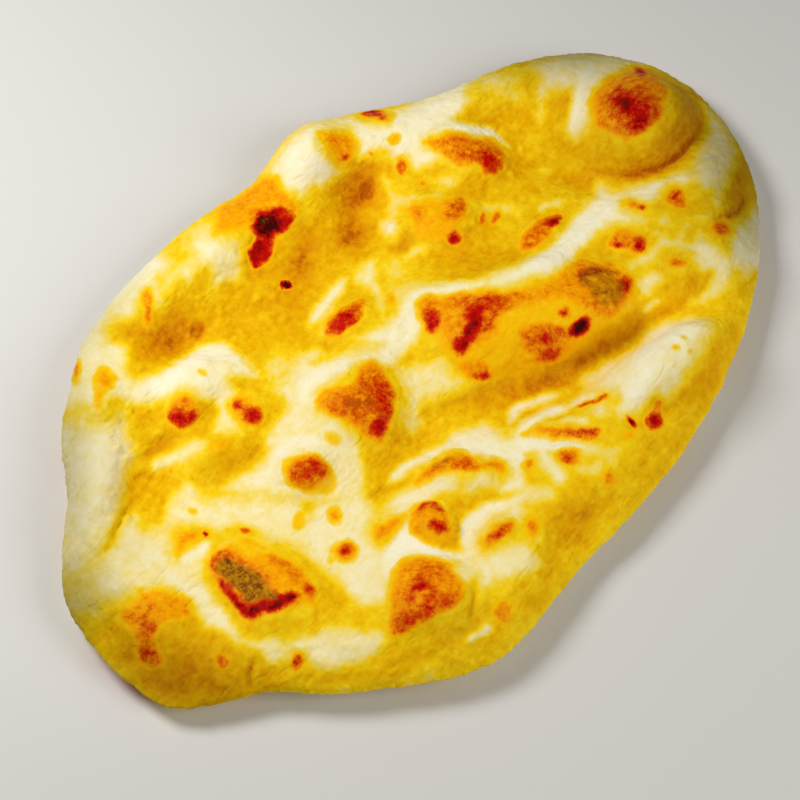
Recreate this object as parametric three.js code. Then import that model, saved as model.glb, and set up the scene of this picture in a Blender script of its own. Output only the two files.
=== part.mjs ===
// Naan bread: one oval flatbread with a puffed rim, blisters, folds and hollows, lying on a flat base.
// Millimetres. X runs along the bread, Y runs across it and +Z is up. The bread lies on Z = 0.
import * as THREE from "three";
import { ImprovedNoise } from "three/addons/math/ImprovedNoise.js";
import { mergeVertices } from "three/addons/utils/BufferGeometryUtils.js";

// Driving dimensions
const LENGTH = 280;
const WIDTH = 174;
const MIDDLE_THICKNESS = 11;
const RIM_RISE = 5; // the rim's crest above the middle
const RIM_INSET = 17; // from the edge in to the rim's crest
const RIM_SPREAD = 12; // half the width of the rim's swell
const EDGE_HEIGHT = 7; // the widest line round the side, above the base
const SHOULDER = 11; // how far in from the edge the top is rounded
const BASE_INSET = 14; // from the edge in to the flat of the base

// Unevenness of rolled dough, as a wavelength and a height
const DOUGH_WAVES = [
  { wavelength: 30, height: 1.0 },
  { wavelength: 13, height: 0.5 },
];

// Facets: how often each edge of the first icosahedron is split, and the share of facets on the top
const EDGE_SPLITS = 21;
const TOP_SHARE = 0.78;
const EDGE_CROWDING = 0.07; // packs the facets closer together near the edge

// Outline: lobes and dents of the plain oval. "toward" is a direction in degrees from +X,
// "spread" the degrees on each side of it, and "reach" the distance out of the oval.
const LOBES = [
  { name: "far long dent", toward: 35, spread: 15, reach: -12 },
  { name: "knob", toward: 61, spread: 5, reach: 3 },
  { name: "dent beside the knob", toward: 81, spread: 10, reach: -5 },
  { name: "left shoulder", toward: 121, spread: 13, reach: 3.5 },
  { name: "left waist", toward: 157, spread: 9, reach: -8 },
  { name: "near tip", toward: 188, spread: 5, reach: 4.5 },
  { name: "notch beside the near tip", toward: 199, spread: 5, reach: -5 },
  { name: "front corner", toward: 228, spread: 13, reach: 10 },
];

// Mounds (rise above 0) and hollows (rise below 0) of the top: a centre, two half sizes, a turn in degrees,
// a rise, and how plump it is: 0 is a soft swell that runs out, 1 a full dome with a steep side.
const FORMS = [
  { name: "corner bubble", at: [107, -8], half: [26, 21], turn: 20, rise: 9, plump: 1 },
  { name: "long pillow", at: [27, -22], half: [43, 21], turn: -33, rise: 7, plump: 1 },
  { name: "front puff", at: [35, -66], half: [38, 15], turn: -16, rise: 6, plump: 0.6 },
  { name: "end plateau", at: [80, -42], half: [28, 26], turn: 0, rise: 4, plump: 0.3 },
  { name: "plateau dome", at: [63, -52], half: [11, 10], turn: 20, rise: 2.5, plump: 1 },
  { name: "centre mound", at: [-32, -2], half: [22, 19], turn: 0, rise: 5, plump: 0.6 },
  { name: "round blister", at: [-60, -5], half: [11, 10], turn: 0, rise: 3.5, plump: 1 },
  { name: "rimmed blister", at: [-51, -45], half: [9, 8], turn: 30, rise: 4, plump: 1 },
  { name: "slant blister", at: [-43, -61], half: [9, 7], turn: -12, rise: 3, plump: 1 },
  { name: "front toasted mound", at: [-70, -57], half: [19, 17], turn: 35, rise: 5, plump: 0.8 },
  { name: "front pillow", at: [-95, -19], half: [22, 15], turn: 88, rise: 5, plump: 1 },
  { name: "near lobe", at: [-112, 4], half: [27, 24], turn: 20, rise: 4.5, plump: 0.4 },
  { name: "left puff", at: [-105, 39], half: [27, 15], turn: 42, rise: 4, plump: 0.8 },
  { name: "left rim swell", at: [-82, 60], half: [18, 12], turn: 33, rise: 4, plump: 0.5 },
  { name: "first paired blister", at: [-65, 37], half: [9, 8], turn: 0, rise: 3, plump: 1 },
  { name: "second paired blister", at: [-53, 22], half: [9, 8], turn: 45, rise: 2.5, plump: 1 },
  { name: "pale mound", at: [-50, 38], half: [19, 11], turn: -32, rise: 3.5, plump: 0.5 },
  { name: "slim mound", at: [-72, 21], half: [17, 8], turn: -21, rise: 2.5, plump: 0.8 },
  { name: "knob swell", at: [34, 72], half: [20, 16], turn: 45, rise: 4, plump: 0.5 },
  { name: "far mound", at: [65, 31], half: [18, 14], turn: -67, rise: 4.5, plump: 1 },
  { name: "middle mound", at: [40, 23], half: [17, 14], turn: -49, rise: 3.5, plump: 0.8 },
  { name: "toasted ridge", at: [54, -7], half: [11, 7], turn: -11, rise: 2.5, plump: 1 },
  { name: "toasted dome", at: [-9, 21], half: [12, 7], turn: 0, rise: 3, plump: 1 },
  { name: "arched mound", at: [-33, -41], half: [16, 11], turn: -58, rise: 3.5, plump: 0.8 },
  { name: "front ridge", at: [0, -57], half: [19, 7], turn: -52, rise: 3, plump: 0.8 },
  { name: "upper basin", at: [-12, 42], half: [54, 32], turn: -8, rise: -4, plump: 0.4 },
  { name: "deep dimple", at: [31, 45], half: [20, 11], turn: 31, rise: -4.5, plump: 0.6 },
  { name: "left hollow", at: [-50, 60], half: [20, 12], turn: -37, rise: -3, plump: 0.6 },
  { name: "far basin", at: [86, 18], half: [32, 26], turn: 45, rise: -3.5, plump: 0.4 },
  { name: "near basin", at: [-88, 26], half: [18, 15], turn: 57, rise: -2.5, plump: 0.4 },
  { name: "middle basin", at: [-41, -26], half: [22, 11], turn: 14, rise: -3, plump: 0.6 },
  { name: "near slope", at: [-138, -14], half: [34, 30], turn: 20, rise: -5, plump: 0.5 },
  { name: "rim hollow", at: [-28, -80], half: [18, 10], turn: -5, rise: -2.5, plump: 0.6 },
];

// Folds: raised ridges (rise above 0) and grooves (rise below 0) that run along a smooth line.
const FOLDS = [
  { name: "long ridge", half: 13, rise: 3, line: [[-63, -2], [-20, 7], [10, 7], [44, -14], [102, -31]] },
  { name: "pillow groove", half: 12, rise: -4.5, line: [[-25, -22], [4, -40], [30, -50], [62, -61]] },
  { name: "bubble crease", half: 9, rise: -4, line: [[83, -4], [97, -23], [122, -24]] },
  { name: "puff crease", half: 8, rise: -2.5, line: [[-93, 35], [-104, 26], [-119, 23]] },
  { name: "front rim crease", half: 8, rise: -2, line: [[39, -55], [51, -61], [62, -74]] },
  { name: "near notch", half: 8, rise: -2.5, line: [[-113, -30], [-119, -36], [-125, -42]] },
  { name: "end dent", half: 8, rise: -2.5, line: [[91, -50], [97, -53], [104, -54]] },
];
const FOLD_STEPS = 24; // points along a fold's line that distances are taken to

const CRUST_COLOUR = 0xf1d58e;
const CRUST_ROUGHNESS = 0.7;

const noise = new ImprovedNoise();
const { degToRad, radToDeg, euclideanModulo } = THREE.MathUtils;

// Distance from the middle to the edge in a direction given in radians.
function outlineRadius(angle) {
  const oval = 1 / Math.hypot(Math.cos(angle) / (LENGTH / 2), Math.sin(angle) / (WIDTH / 2));
  return LOBES.reduce((radius, lobe) => {
    const off = euclideanModulo(radToDeg(angle) - lobe.toward + 180, 360) - 180;
    return radius + lobe.reach * Math.exp(-((off / lobe.spread) ** 2));
  }, oval);
}

// Height that one mound or hollow adds at a point of the top.
function formHeight(form, x, y) {
  const turn = degToRad(form.turn);
  const dx = x - form.at[0];
  const dy = y - form.at[1];
  const along = (dx * Math.cos(turn) + dy * Math.sin(turn)) / form.half[0];
  const across = (dy * Math.cos(turn) - dx * Math.sin(turn)) / form.half[1];
  const inside = 1 - along ** 2 - across ** 2;
  return inside > 0 ? form.rise * inside ** 2 * (1 + 2 * form.plump * (1 - inside)) : 0;
}

// A fold's line as evenly spaced points.
function foldPoints(fold) {
  const corners = fold.line.map(([x, y]) => new THREE.Vector3(x, y, 0));
  return new THREE.CatmullRomCurve3(corners).getSpacedPoints(FOLD_STEPS);
}

// Height that one ridge or groove adds at a point of the top.
function foldHeight(fold, x, y) {
  const nearest = Math.min(...fold.points.map((p) => Math.hypot(p.x - x, p.y - y)));
  const inside = 1 - (nearest / fold.half) ** 2;
  return inside > 0 ? fold.rise * inside ** 2 : 0;
}

function doughWave(x, y) {
  return DOUGH_WAVES.reduce(
    (sum, { wavelength, height }) => sum + height * noise.noise(x / wavelength, y / wavelength, wavelength),
    0,
  );
}

// Height of the top at a point, before its rounding at the edge.
function topHeight(x, y, edgeDistance) {
  const rim = RIM_RISE * Math.exp(-(((edgeDistance - RIM_INSET) / RIM_SPREAD) ** 2));
  const forms = FORMS.reduce((sum, form) => sum + formHeight(form, x, y), 0);
  const folds = FOLDS_WITH_POINTS.reduce((sum, fold) => sum + foldHeight(fold, x, y), 0);
  return MIDDLE_THICKNESS + rim + forms + folds + doughWave(x, y);
}

// Quarter round: 0 at the edge, 1 from "reach" inwards.
function quarterRound(distance, reach) {
  const left = 1 - Math.min(distance / reach, 1);
  return Math.sqrt(1 - left ** 2);
}

// Presses a point of the unit sphere into the bread: the upper part becomes the top, the rest the base.
function pressPoint(point) {
  const seam = 1 - 2 * TOP_SHARE;
  const onTop = point.z >= seam;
  const share = onTop ? (1 - point.z) / (1 - seam) : (1 + point.z) / (1 + seam);
  const left = 1 - Math.sqrt(share);
  const fromEdge = (left ** 2 * (1 + EDGE_CROWDING)) / (left + EDGE_CROWDING);
  const angle = Math.atan2(point.y, point.x);
  const radius = outlineRadius(angle);
  const x = (1 - fromEdge) * radius * Math.cos(angle);
  const y = (1 - fromEdge) * radius * Math.sin(angle);
  const edgeDistance = fromEdge * radius;
  const z = onTop
    ? EDGE_HEIGHT + (topHeight(x, y, edgeDistance) - EDGE_HEIGHT) * quarterRound(edgeDistance, SHOULDER)
    : EDGE_HEIGHT * (1 - quarterRound(edgeDistance, BASE_INSET));
  return point.set(x, y, z);
}

// The whole bread as one closed surface, with the middle of its box over the origin.
function breadGeometry() {
  const ball = new THREE.IcosahedronGeometry(1, EDGE_SPLITS);
  ball.deleteAttribute("normal");
  ball.deleteAttribute("uv");
  const geometry = mergeVertices(ball);
  const position = geometry.getAttribute("position");
  const point = new THREE.Vector3();
  for (let i = 0; i < position.count; i++) {
    pressPoint(point.fromBufferAttribute(position, i).normalize());
    position.setXYZ(i, point.x, point.y, point.z);
  }
  geometry.computeBoundingBox();
  const middle = geometry.boundingBox.getCenter(new THREE.Vector3());
  geometry.translate(-middle.x, -middle.y, 0);
  geometry.computeVertexNormals();
  return geometry;
}

const FOLDS_WITH_POINTS = FOLDS.map((fold) => ({ ...fold, points: foldPoints(fold) }));

const crust = new THREE.MeshStandardMaterial({
  color: CRUST_COLOUR,
  roughness: CRUST_ROUGHNESS,
  metalness: 0,
});
const naan = new THREE.Mesh(breadGeometry(), crust);
naan.name = "naan";

const bread = new THREE.Group();
bread.add(naan);
export default bread;
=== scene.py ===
"""Naan bread: gives the solid a fine blistered skin, bakes its colours into it and sets a plain stage."""
import math
import random
from dataclasses import dataclass

import bpy
import numpy as np
from bpy.props import FloatProperty, FloatVectorProperty, IntProperty, PointerProperty
from mathutils import Matrix, Vector, noise


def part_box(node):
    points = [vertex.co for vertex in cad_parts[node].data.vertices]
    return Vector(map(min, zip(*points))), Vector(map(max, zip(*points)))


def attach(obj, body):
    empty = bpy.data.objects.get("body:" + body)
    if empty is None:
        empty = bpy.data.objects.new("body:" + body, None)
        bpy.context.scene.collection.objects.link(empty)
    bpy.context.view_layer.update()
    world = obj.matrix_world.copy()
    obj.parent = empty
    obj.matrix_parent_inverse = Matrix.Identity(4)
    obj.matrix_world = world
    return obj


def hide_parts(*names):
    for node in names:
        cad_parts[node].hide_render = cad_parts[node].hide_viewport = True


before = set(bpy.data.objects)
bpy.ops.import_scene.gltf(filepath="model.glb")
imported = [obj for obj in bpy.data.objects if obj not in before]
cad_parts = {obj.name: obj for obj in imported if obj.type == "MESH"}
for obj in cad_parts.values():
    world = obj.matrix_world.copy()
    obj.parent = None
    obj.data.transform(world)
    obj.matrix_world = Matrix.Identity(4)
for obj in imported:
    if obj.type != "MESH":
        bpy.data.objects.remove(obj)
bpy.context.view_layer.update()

bl_info = {
    "name": "Naan Bread",
    "version": (1, 0, 0),
    "blender": (4, 5, 0),
    "location": "3D View > Sidebar > Naan",
    "description": "Builds a blistered, toasted naan bread around its solid and sets a stage for it",
    "category": "Object",
}

MM = 0.001
NODE = "naan"
PIECE = "naan_crust"
FRAME_SIDE = 800  # pixels of the square reference view, in which the marks are placed

# How marks end, in pixels or as a share of their strength
FADE = 60.0  # pixels beyond which a mark has no effect
EDGE_SPREAD = 2.2  # soft edges by which a golden or floury mark fades to each side of its outline
EDGE_SHARE = 0.75  # strength of such a mark just inside its outline
EDGE_RISE = 4  # soft edges inside its outline at which it has its full strength
WARM_EDGE = 0.66  # strength of a toasted mark just inside its outline
WARM_DEPTH = 9.0  # pixels inside its outline at which it has its full strength
TIP_SHARE = 0.35  # width and strength of a stroke at its tips
TIP_RISE = 3  # how fast a stroke widens from its tips
SPOT_DEPTH = 0.9  # share of a small spot's half size at which it has its full strength
DOME_POWER = 0.8  # how round a spot rises
MOUND_FOOT = (1.1, 0.1)  # radii, as shares of a mound's own, from its foot to its flat top
CREASE_POWER = 1.6  # how sharp a crease is
STRAY = ((4.0, 9 * MM), (2.5, 3.5 * MM))  # pixels that outlines stray, each with its wavelength
STRAY_SEEDS = ((3, 7), (13, 17))  # for straying across and down
GOLD_STRAY = 0.8  # share of it in golden marks
FLOUR_STRAY = 0.5  # share of it in floury marks
BASE_STRAY = 0.4  # millimetres for each pixel of it on the base

# How golden the crust is, from 0 for flour to 1 for the deepest hollows; part of the gold is painted shade
# and part of the paleness is painted highlight
GROUND_GOLD = 0.53  # plain crust
BUTTERY = 0.46  # where the crust starts to turn pale
RING_GOLD = 0.47  # round a toasted mark
RING_RISE = (0.04, 0.24)  # toast over which that gold comes in
KEY_SIDE_PALING = 0.16  # painted light and shade: taken off where the crust faces +Y, towards the key light, and added where it faces away from it
CREST_HIGHLIGHT_HOLLOW_SHADE = 0.16  # painted highlight and shade: taken off for each millimetre that the crust stands proud, and added for each millimetre that it lies deep
CREST_LIMIT = 1.5  # millimetres of standing proud or lying deep that count
CREST_ROUNDS = 60  # rounds of averaging with its neighbours that show how proud a point stands
DRIFT = 0.08  # slow changes over the bread
DRIFT_SIZE = 22 * MM
DRIFT_SEED = 23
BASE_DRIFT = 0.6  # slow changes over the base
BASE_DRIFT_SIZE = 26 * MM
BASE_DRIFT_SEED = 31
BASE_PALING = 0.16  # taken off on the base

# How toasted the crust is
GLOW = 0.22  # the yellow ring round a toasted mark
GLOW_WIDTH = 6  # pixels that the ring is wide
GLOWING = 0.38  # toast from which a mark has a ring
MOST = 1.2  # the most that any point is toasted or charred

# How far up the skin faces, as the height of its normal, where things come in
SPLIT_FACING = -0.15  # faces above this are split once more
RELIEF_FACING = (-0.3, 0.2)
GRAIN_FACING = (-0.6, -0.2)
COLOUR_FACING = (-0.7, -0.25)

# How the skin is made
JOIN = 0.01 * MM  # points nearer than this become one
SOFTEN = 0.5  # how far a round of smoothing moves a point towards its neighbours
SPLIT_ROUNDS = 4  # rounds of smoothing after the split
FAINT = 0.002  # share of a vertex group that is too faint to keep
SEED_SHIFT = (1, 0.37, 0.71)  # direction in which a seed shifts the noise

# Pimples scattered over the golden hollows: fields by their middle and reach, in pixels
PIMPLE_FIELDS = (
    ((285, 290), (105, 50)), ((520, 140), (70, 50)), ((450, 225), (60, 40)), ((150, 470), (40, 60)),
    ((410, 470), (40, 60)), ((690, 230), (40, 50)))
PIMPLES = 110
PIMPLE_SEED = 11
PIMPLE_HALF = (3, 5.5)  # pixels
PIMPLE_HEIGHT = (0.3, 0.6)  # millimetres
PIMPLE_SQUASH = 0.9

# Toasted spots scattered over the base, in millimetres
BASE_SPOTS = 60
BASE_SPOT_SEED = 5
BASE_SPOT_LONG = (3, 13)
BASE_SPOT_WIDE = (3, 10)
BASE_SPOT_TOAST = (0.35, 0.72)

# The crust's material: shares of its noises, and the values between which its steps rise
SPECK_ROUGHNESS = 0.7
MOTTLE = (0.30, 0.30, 0.16)  # clouds, blotches and specks in the dough
PALE_MOTTLE = 0.55  # share of that mottling where the dough is pale
PALE_STEP = (0.1, 0.5)
MARKED_STEP = (0.16, 0.7)  # from plain crust to a toasted mark
SPECKLE = (0.3, 0.55, 0.4)  # clouds, blotches and specks in toasted marks
FLECK_STEP = (0.5, 0.7)
FLECK_HEAT = 0.14  # what a fleck adds to a toasted mark
HEAT_SCALE = 0.85  # from heat to its place among the browned colours
HEAT_STEP = (0.12, 0.4)  # from dough to the browned colours
CHAR_SPECKLE = (0.8, 0.6)  # blotches and specks in charred marks
CHAR_STEP = (0.2, 1.0)
CHAR_COVER = 0.85  # the most that ash covers
ASH_STEP = (0.36, 0.64)  # from cinders to ash
ROUGHNESS = 0.66
MARKED_GLOSS = 0.12  # by which a toasted mark is smoother
BLOTCH_ROUGHNESS = 0.3
FURROW_STRETCH = (0.35, 1, 1)
FURROW_STEP = (0.0, 0.16)  # from the middle of a furrow to its sides
WRINKLED_STEP = (0.42, 0.58)  # from smooth to wrinkled clouds
BLOTCH_BUMP = 0.6
SPECK_BUMP = 0.25
MARKED_BUMP = 0.9
FURROW_BUMP = 0.55
BUMP_STRENGTH = 0.8

# The floor's material
FLOOR_CLOUD = 0.3  # metres
FLOOR_SHADE = 0.96  # of its colour where it is darkest
FLOOR_ROUGHNESS = 0.9


def tint(red, green, blue):
    """A colour as it looks on screen, 0 to 255, turned into the linear values that Blender works in."""
    def linear(channel):
        share = channel / 255
        return share / 12.92 if share <= 0.04045 else ((share + 0.055) / 1.055) ** 2.4
    return tuple(linear(channel) for channel in (red, green, blue))


def ease(low, high, value):
    """0 below low, 1 above high and a smooth step between them."""
    t = np.clip((value - low) / (high - low), 0, 1)
    return t * t * (3 - 2 * t)


# Marks

def smooth_line(points, closed=False, steps=6):
    """Points on a smooth curve through the given points."""
    p = np.array(points, float)
    if closed:
        p = np.vstack([p[-1], p, p[0], p[1]])
    else:
        p = np.vstack([2 * p[0] - p[1], p, 2 * p[-1] - p[-2]])
    t = np.arange(steps)[:, None] / steps
    runs = []
    for a, b, c, d in zip(p, p[1:], p[2:], p[3:]):
        bend = (2 * a - 5 * b + 4 * c - d) * t**2
        twist = (3 * b - a - 3 * c + d) * t**3
        runs.append(0.5 * (2 * b + (c - a) * t + bend + twist))
    curve = np.vstack(runs)
    return curve if closed else np.vstack([curve, p[-2]])


def segment_distance(seen, a, b):
    """Distance of each seen point from the segment a to b."""
    along = b - a
    t = np.clip((seen - a) @ along / max(along @ along, 1e-9), 0, 1)
    return np.hypot(*(seen - a - t[:, None] * along).T)


@dataclass
class Spot:
    """An oval mark: how strong it is, its middle, half sizes, clockwise turn and soft edge, in pixels."""
    name: str
    level: float
    at: tuple
    half: tuple
    turn: float = 0.0
    edge: float = 3.0

    def radius(self, seen):
        turn = math.radians(self.turn)
        off = seen - np.array(self.at)
        along = off[:, 0] * math.cos(turn) + off[:, 1] * math.sin(turn)
        across = off[:, 1] * math.cos(turn) - off[:, 0] * math.sin(turn)
        return np.hypot(along / self.half[0], across / self.half[1])

    def depth(self, seen):
        """Distance inside the mark, below 0 outside it."""
        return (1 - self.radius(seen)) * min(self.half)

    def dome(self, seen):
        """A round rise over the mark, 1 at its middle."""
        return np.clip(1 - self.radius(seen) ** 2, 0, 1) ** DOME_POWER


class Mound(Spot):
    """An oval rise with a soft foot."""

    def dome(self, seen):
        return ease(*MOUND_FOOT, self.radius(seen))


@dataclass
class Patch:
    """A mark with its own outline, a smooth closed curve through a few points, in pixels."""
    name: str
    level: float
    outline: tuple
    edge: float = 3.0

    def depth(self, seen):
        """Distance inside the outline, below 0 outside it."""
        curve = smooth_line(self.outline, closed=True)
        near = np.all((seen > curve.min(0) - FADE) & (seen < curve.max(0) + FADE), axis=1)
        depth = np.full(len(seen), -FADE)
        spot = seen[near]
        distance = np.full(len(spot), FADE)
        inside = np.zeros(len(spot), bool)
        for a, b in zip(curve, np.roll(curve, -1, axis=0)):
            distance = np.minimum(distance, segment_distance(spot, a, b))
            if a[1] != b[1]:
                crossing = a[0] + (spot[:, 1] - a[1]) / (b[1] - a[1]) * (b[0] - a[0])
                inside ^= ((a[1] > spot[:, 1]) != (b[1] > spot[:, 1])) & (spot[:, 0] < crossing)
        depth[near] = np.where(inside, distance, -distance)
        return depth


@dataclass
class Stroke:
    """A mark along a smooth line that narrows at its ends: its strength, its points and half its width."""
    name: str
    level: float
    line: tuple
    half: float

    def reach(self, seen):
        """1 on the line, falling to 0 at its sides."""
        curve = smooth_line(self.line)
        reach = np.zeros(len(seen))
        for index, (a, b) in enumerate(zip(curve, curve[1:])):
            place = (index + 0.5) / (len(curve) - 1)
            taper = min(1, TIP_SHARE + TIP_RISE * min(place, 1 - place))
            reach = np.maximum(reach, taper * (1 - segment_distance(seen, a, b) / (self.half * taper)))
        return reach

    def cover(self, seen):
        return ease(0, 1, self.reach(seen))

    def dome(self, seen):
        return self.cover(seen)


class Crease(Stroke):
    """A sharp line pressed into the skin."""

    def dome(self, seen):
        return self.reach(seen) ** CREASE_POWER


def cover(mark, seen):
    """How far a mark covers each seen point, 0 to 1, strongest in its middle."""
    if isinstance(mark, Stroke):
        return mark.cover(seen)
    depth = mark.depth(seen)
    inside = ease(-EDGE_SPREAD * mark.edge, EDGE_SPREAD * mark.edge, depth)
    return inside * (EDGE_SHARE + (1 - EDGE_SHARE) * ease(0, EDGE_RISE * mark.edge, depth))


def warmth(mark, seen):
    """How far a toasted mark browns each seen point, 0 to 1, fading outwards over a soft edge."""
    if isinstance(mark, Stroke):
        return mark.cover(seen)
    depth = mark.depth(seen)
    full = min(WARM_DEPTH, SPOT_DEPTH * min(mark.half)) if isinstance(mark, Spot) else WARM_DEPTH
    return WARM_EDGE * ease(-mark.edge, mark.edge, depth) + (1 - WARM_EDGE) * ease(0, full, depth)


# Golden zones: hollows, creases and sides painted deeper gold, partly the crust's own colour and partly
# painted shade
GOLD_AND_SHADE_ZONES = [
    Patch("upper basin", 0.2, (
        (250, 280), (285, 225), (330, 205), (345, 170), (378, 172), (384, 215), (372, 250), (340, 268),
        (318, 290), (300, 325), (262, 334), (240, 310)), 18),
    Spot("basin's amber", 0.4, (298, 268), (18, 34), 25, 12),
    Spot("basin's far amber", 0.4, (350, 236), (22, 20), 0, 10),
    Spot("deep dimple", 0.15, (362, 190), (13, 26), 12, 12),
    Spot("dimple's core", 0.27, (367, 193), (7, 14), 8, 9),
    Spot("left hollow", 0.4, (158, 342), (30, 16), -25, 12),
    Spot("left hollow's end", 0.24, (128, 332), (16, 14), 0, 8),
    Spot("left pit", 0.28, (199, 331), (9, 10), 0, 9),
    Spot("top patch", 0.14, (526, 77), (17, 12), -10, 6),
    Spot("left of the corner bubble", 0.3, (594, 152), (30, 22), -10, 12),
    Spot("bubble's foot", 0.26, (622, 150), (34, 13), -8, 9),
    Spot("under the far mound", 0.2, (560, 172), (52, 20), -10, 15),
    Spot("middle mound", 0.14, (440, 225), (40, 40), 0, 16),
    Spot("shade of the small bubble", 0.26, (404, 245), (12, 5), -35, 5),
    Spot("above the long ridge", 0.22, (482, 266), (40, 11), -18, 8),
    Patch("corner bubble's side", 0.26, (
        (598, 150), (625, 148), (650, 136), (668, 112), (674, 84), (690, 92), (704, 118), (700, 138),
        (686, 158), (655, 172), (610, 174), (590, 168)), 10),
    Stroke("bubble crease", 0.18, ((592, 170), (632, 175), (657, 169), (678, 158), (692, 142)), 9),
    Stroke("right crease", 0.26, ((750, 196), (736, 213), (714, 222)), 10),
    Spot("right rim", 0.36, (738, 185), (11, 38), 0, 8),
    Spot("plateau", 0.16, (688, 212), (34, 18), 0, 12),
    Spot("plateau dome", 0.22, (678, 288), (20, 15), 0, 8),
    Stroke("pillow valley", 0.08, (
        (440, 412), (476, 399), (534, 387), (572, 372), (610, 347), (634, 334)), 26),
    Spot("valley's painted shade", 0.18, (592, 354), (28, 8), -33, 9),
    Spot("front hollow", 0.22, (568, 512), (22, 26), 10, 12),
    Spot("slim mound", 0.38, (221, 454), (17, 11), -25, 7),
    Spot("foot of the paired spots", 0.18, (162, 444), (12, 6), -40, 5),
    Spot("end of the paired crease", 0.2, (246, 448), (6, 9), 30, 4),
    Spot("under the front char", 0.14, (300, 622), (34, 9), -10, 8),
    Spot("near lobe", 0.36, (175, 672), (80, 40), 25, 20),
    Stroke("bottom side", 0.12, ((210, 690), (255, 685), (320, 685), (400, 668), (440, 650)), 20),
    Spot("hollow of the front side", 0.14, (712, 385), (16, 20), 20, 10),
    Spot("puff crease", 0.22, (118, 524), (5, 20), 25, 4),
]
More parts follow.
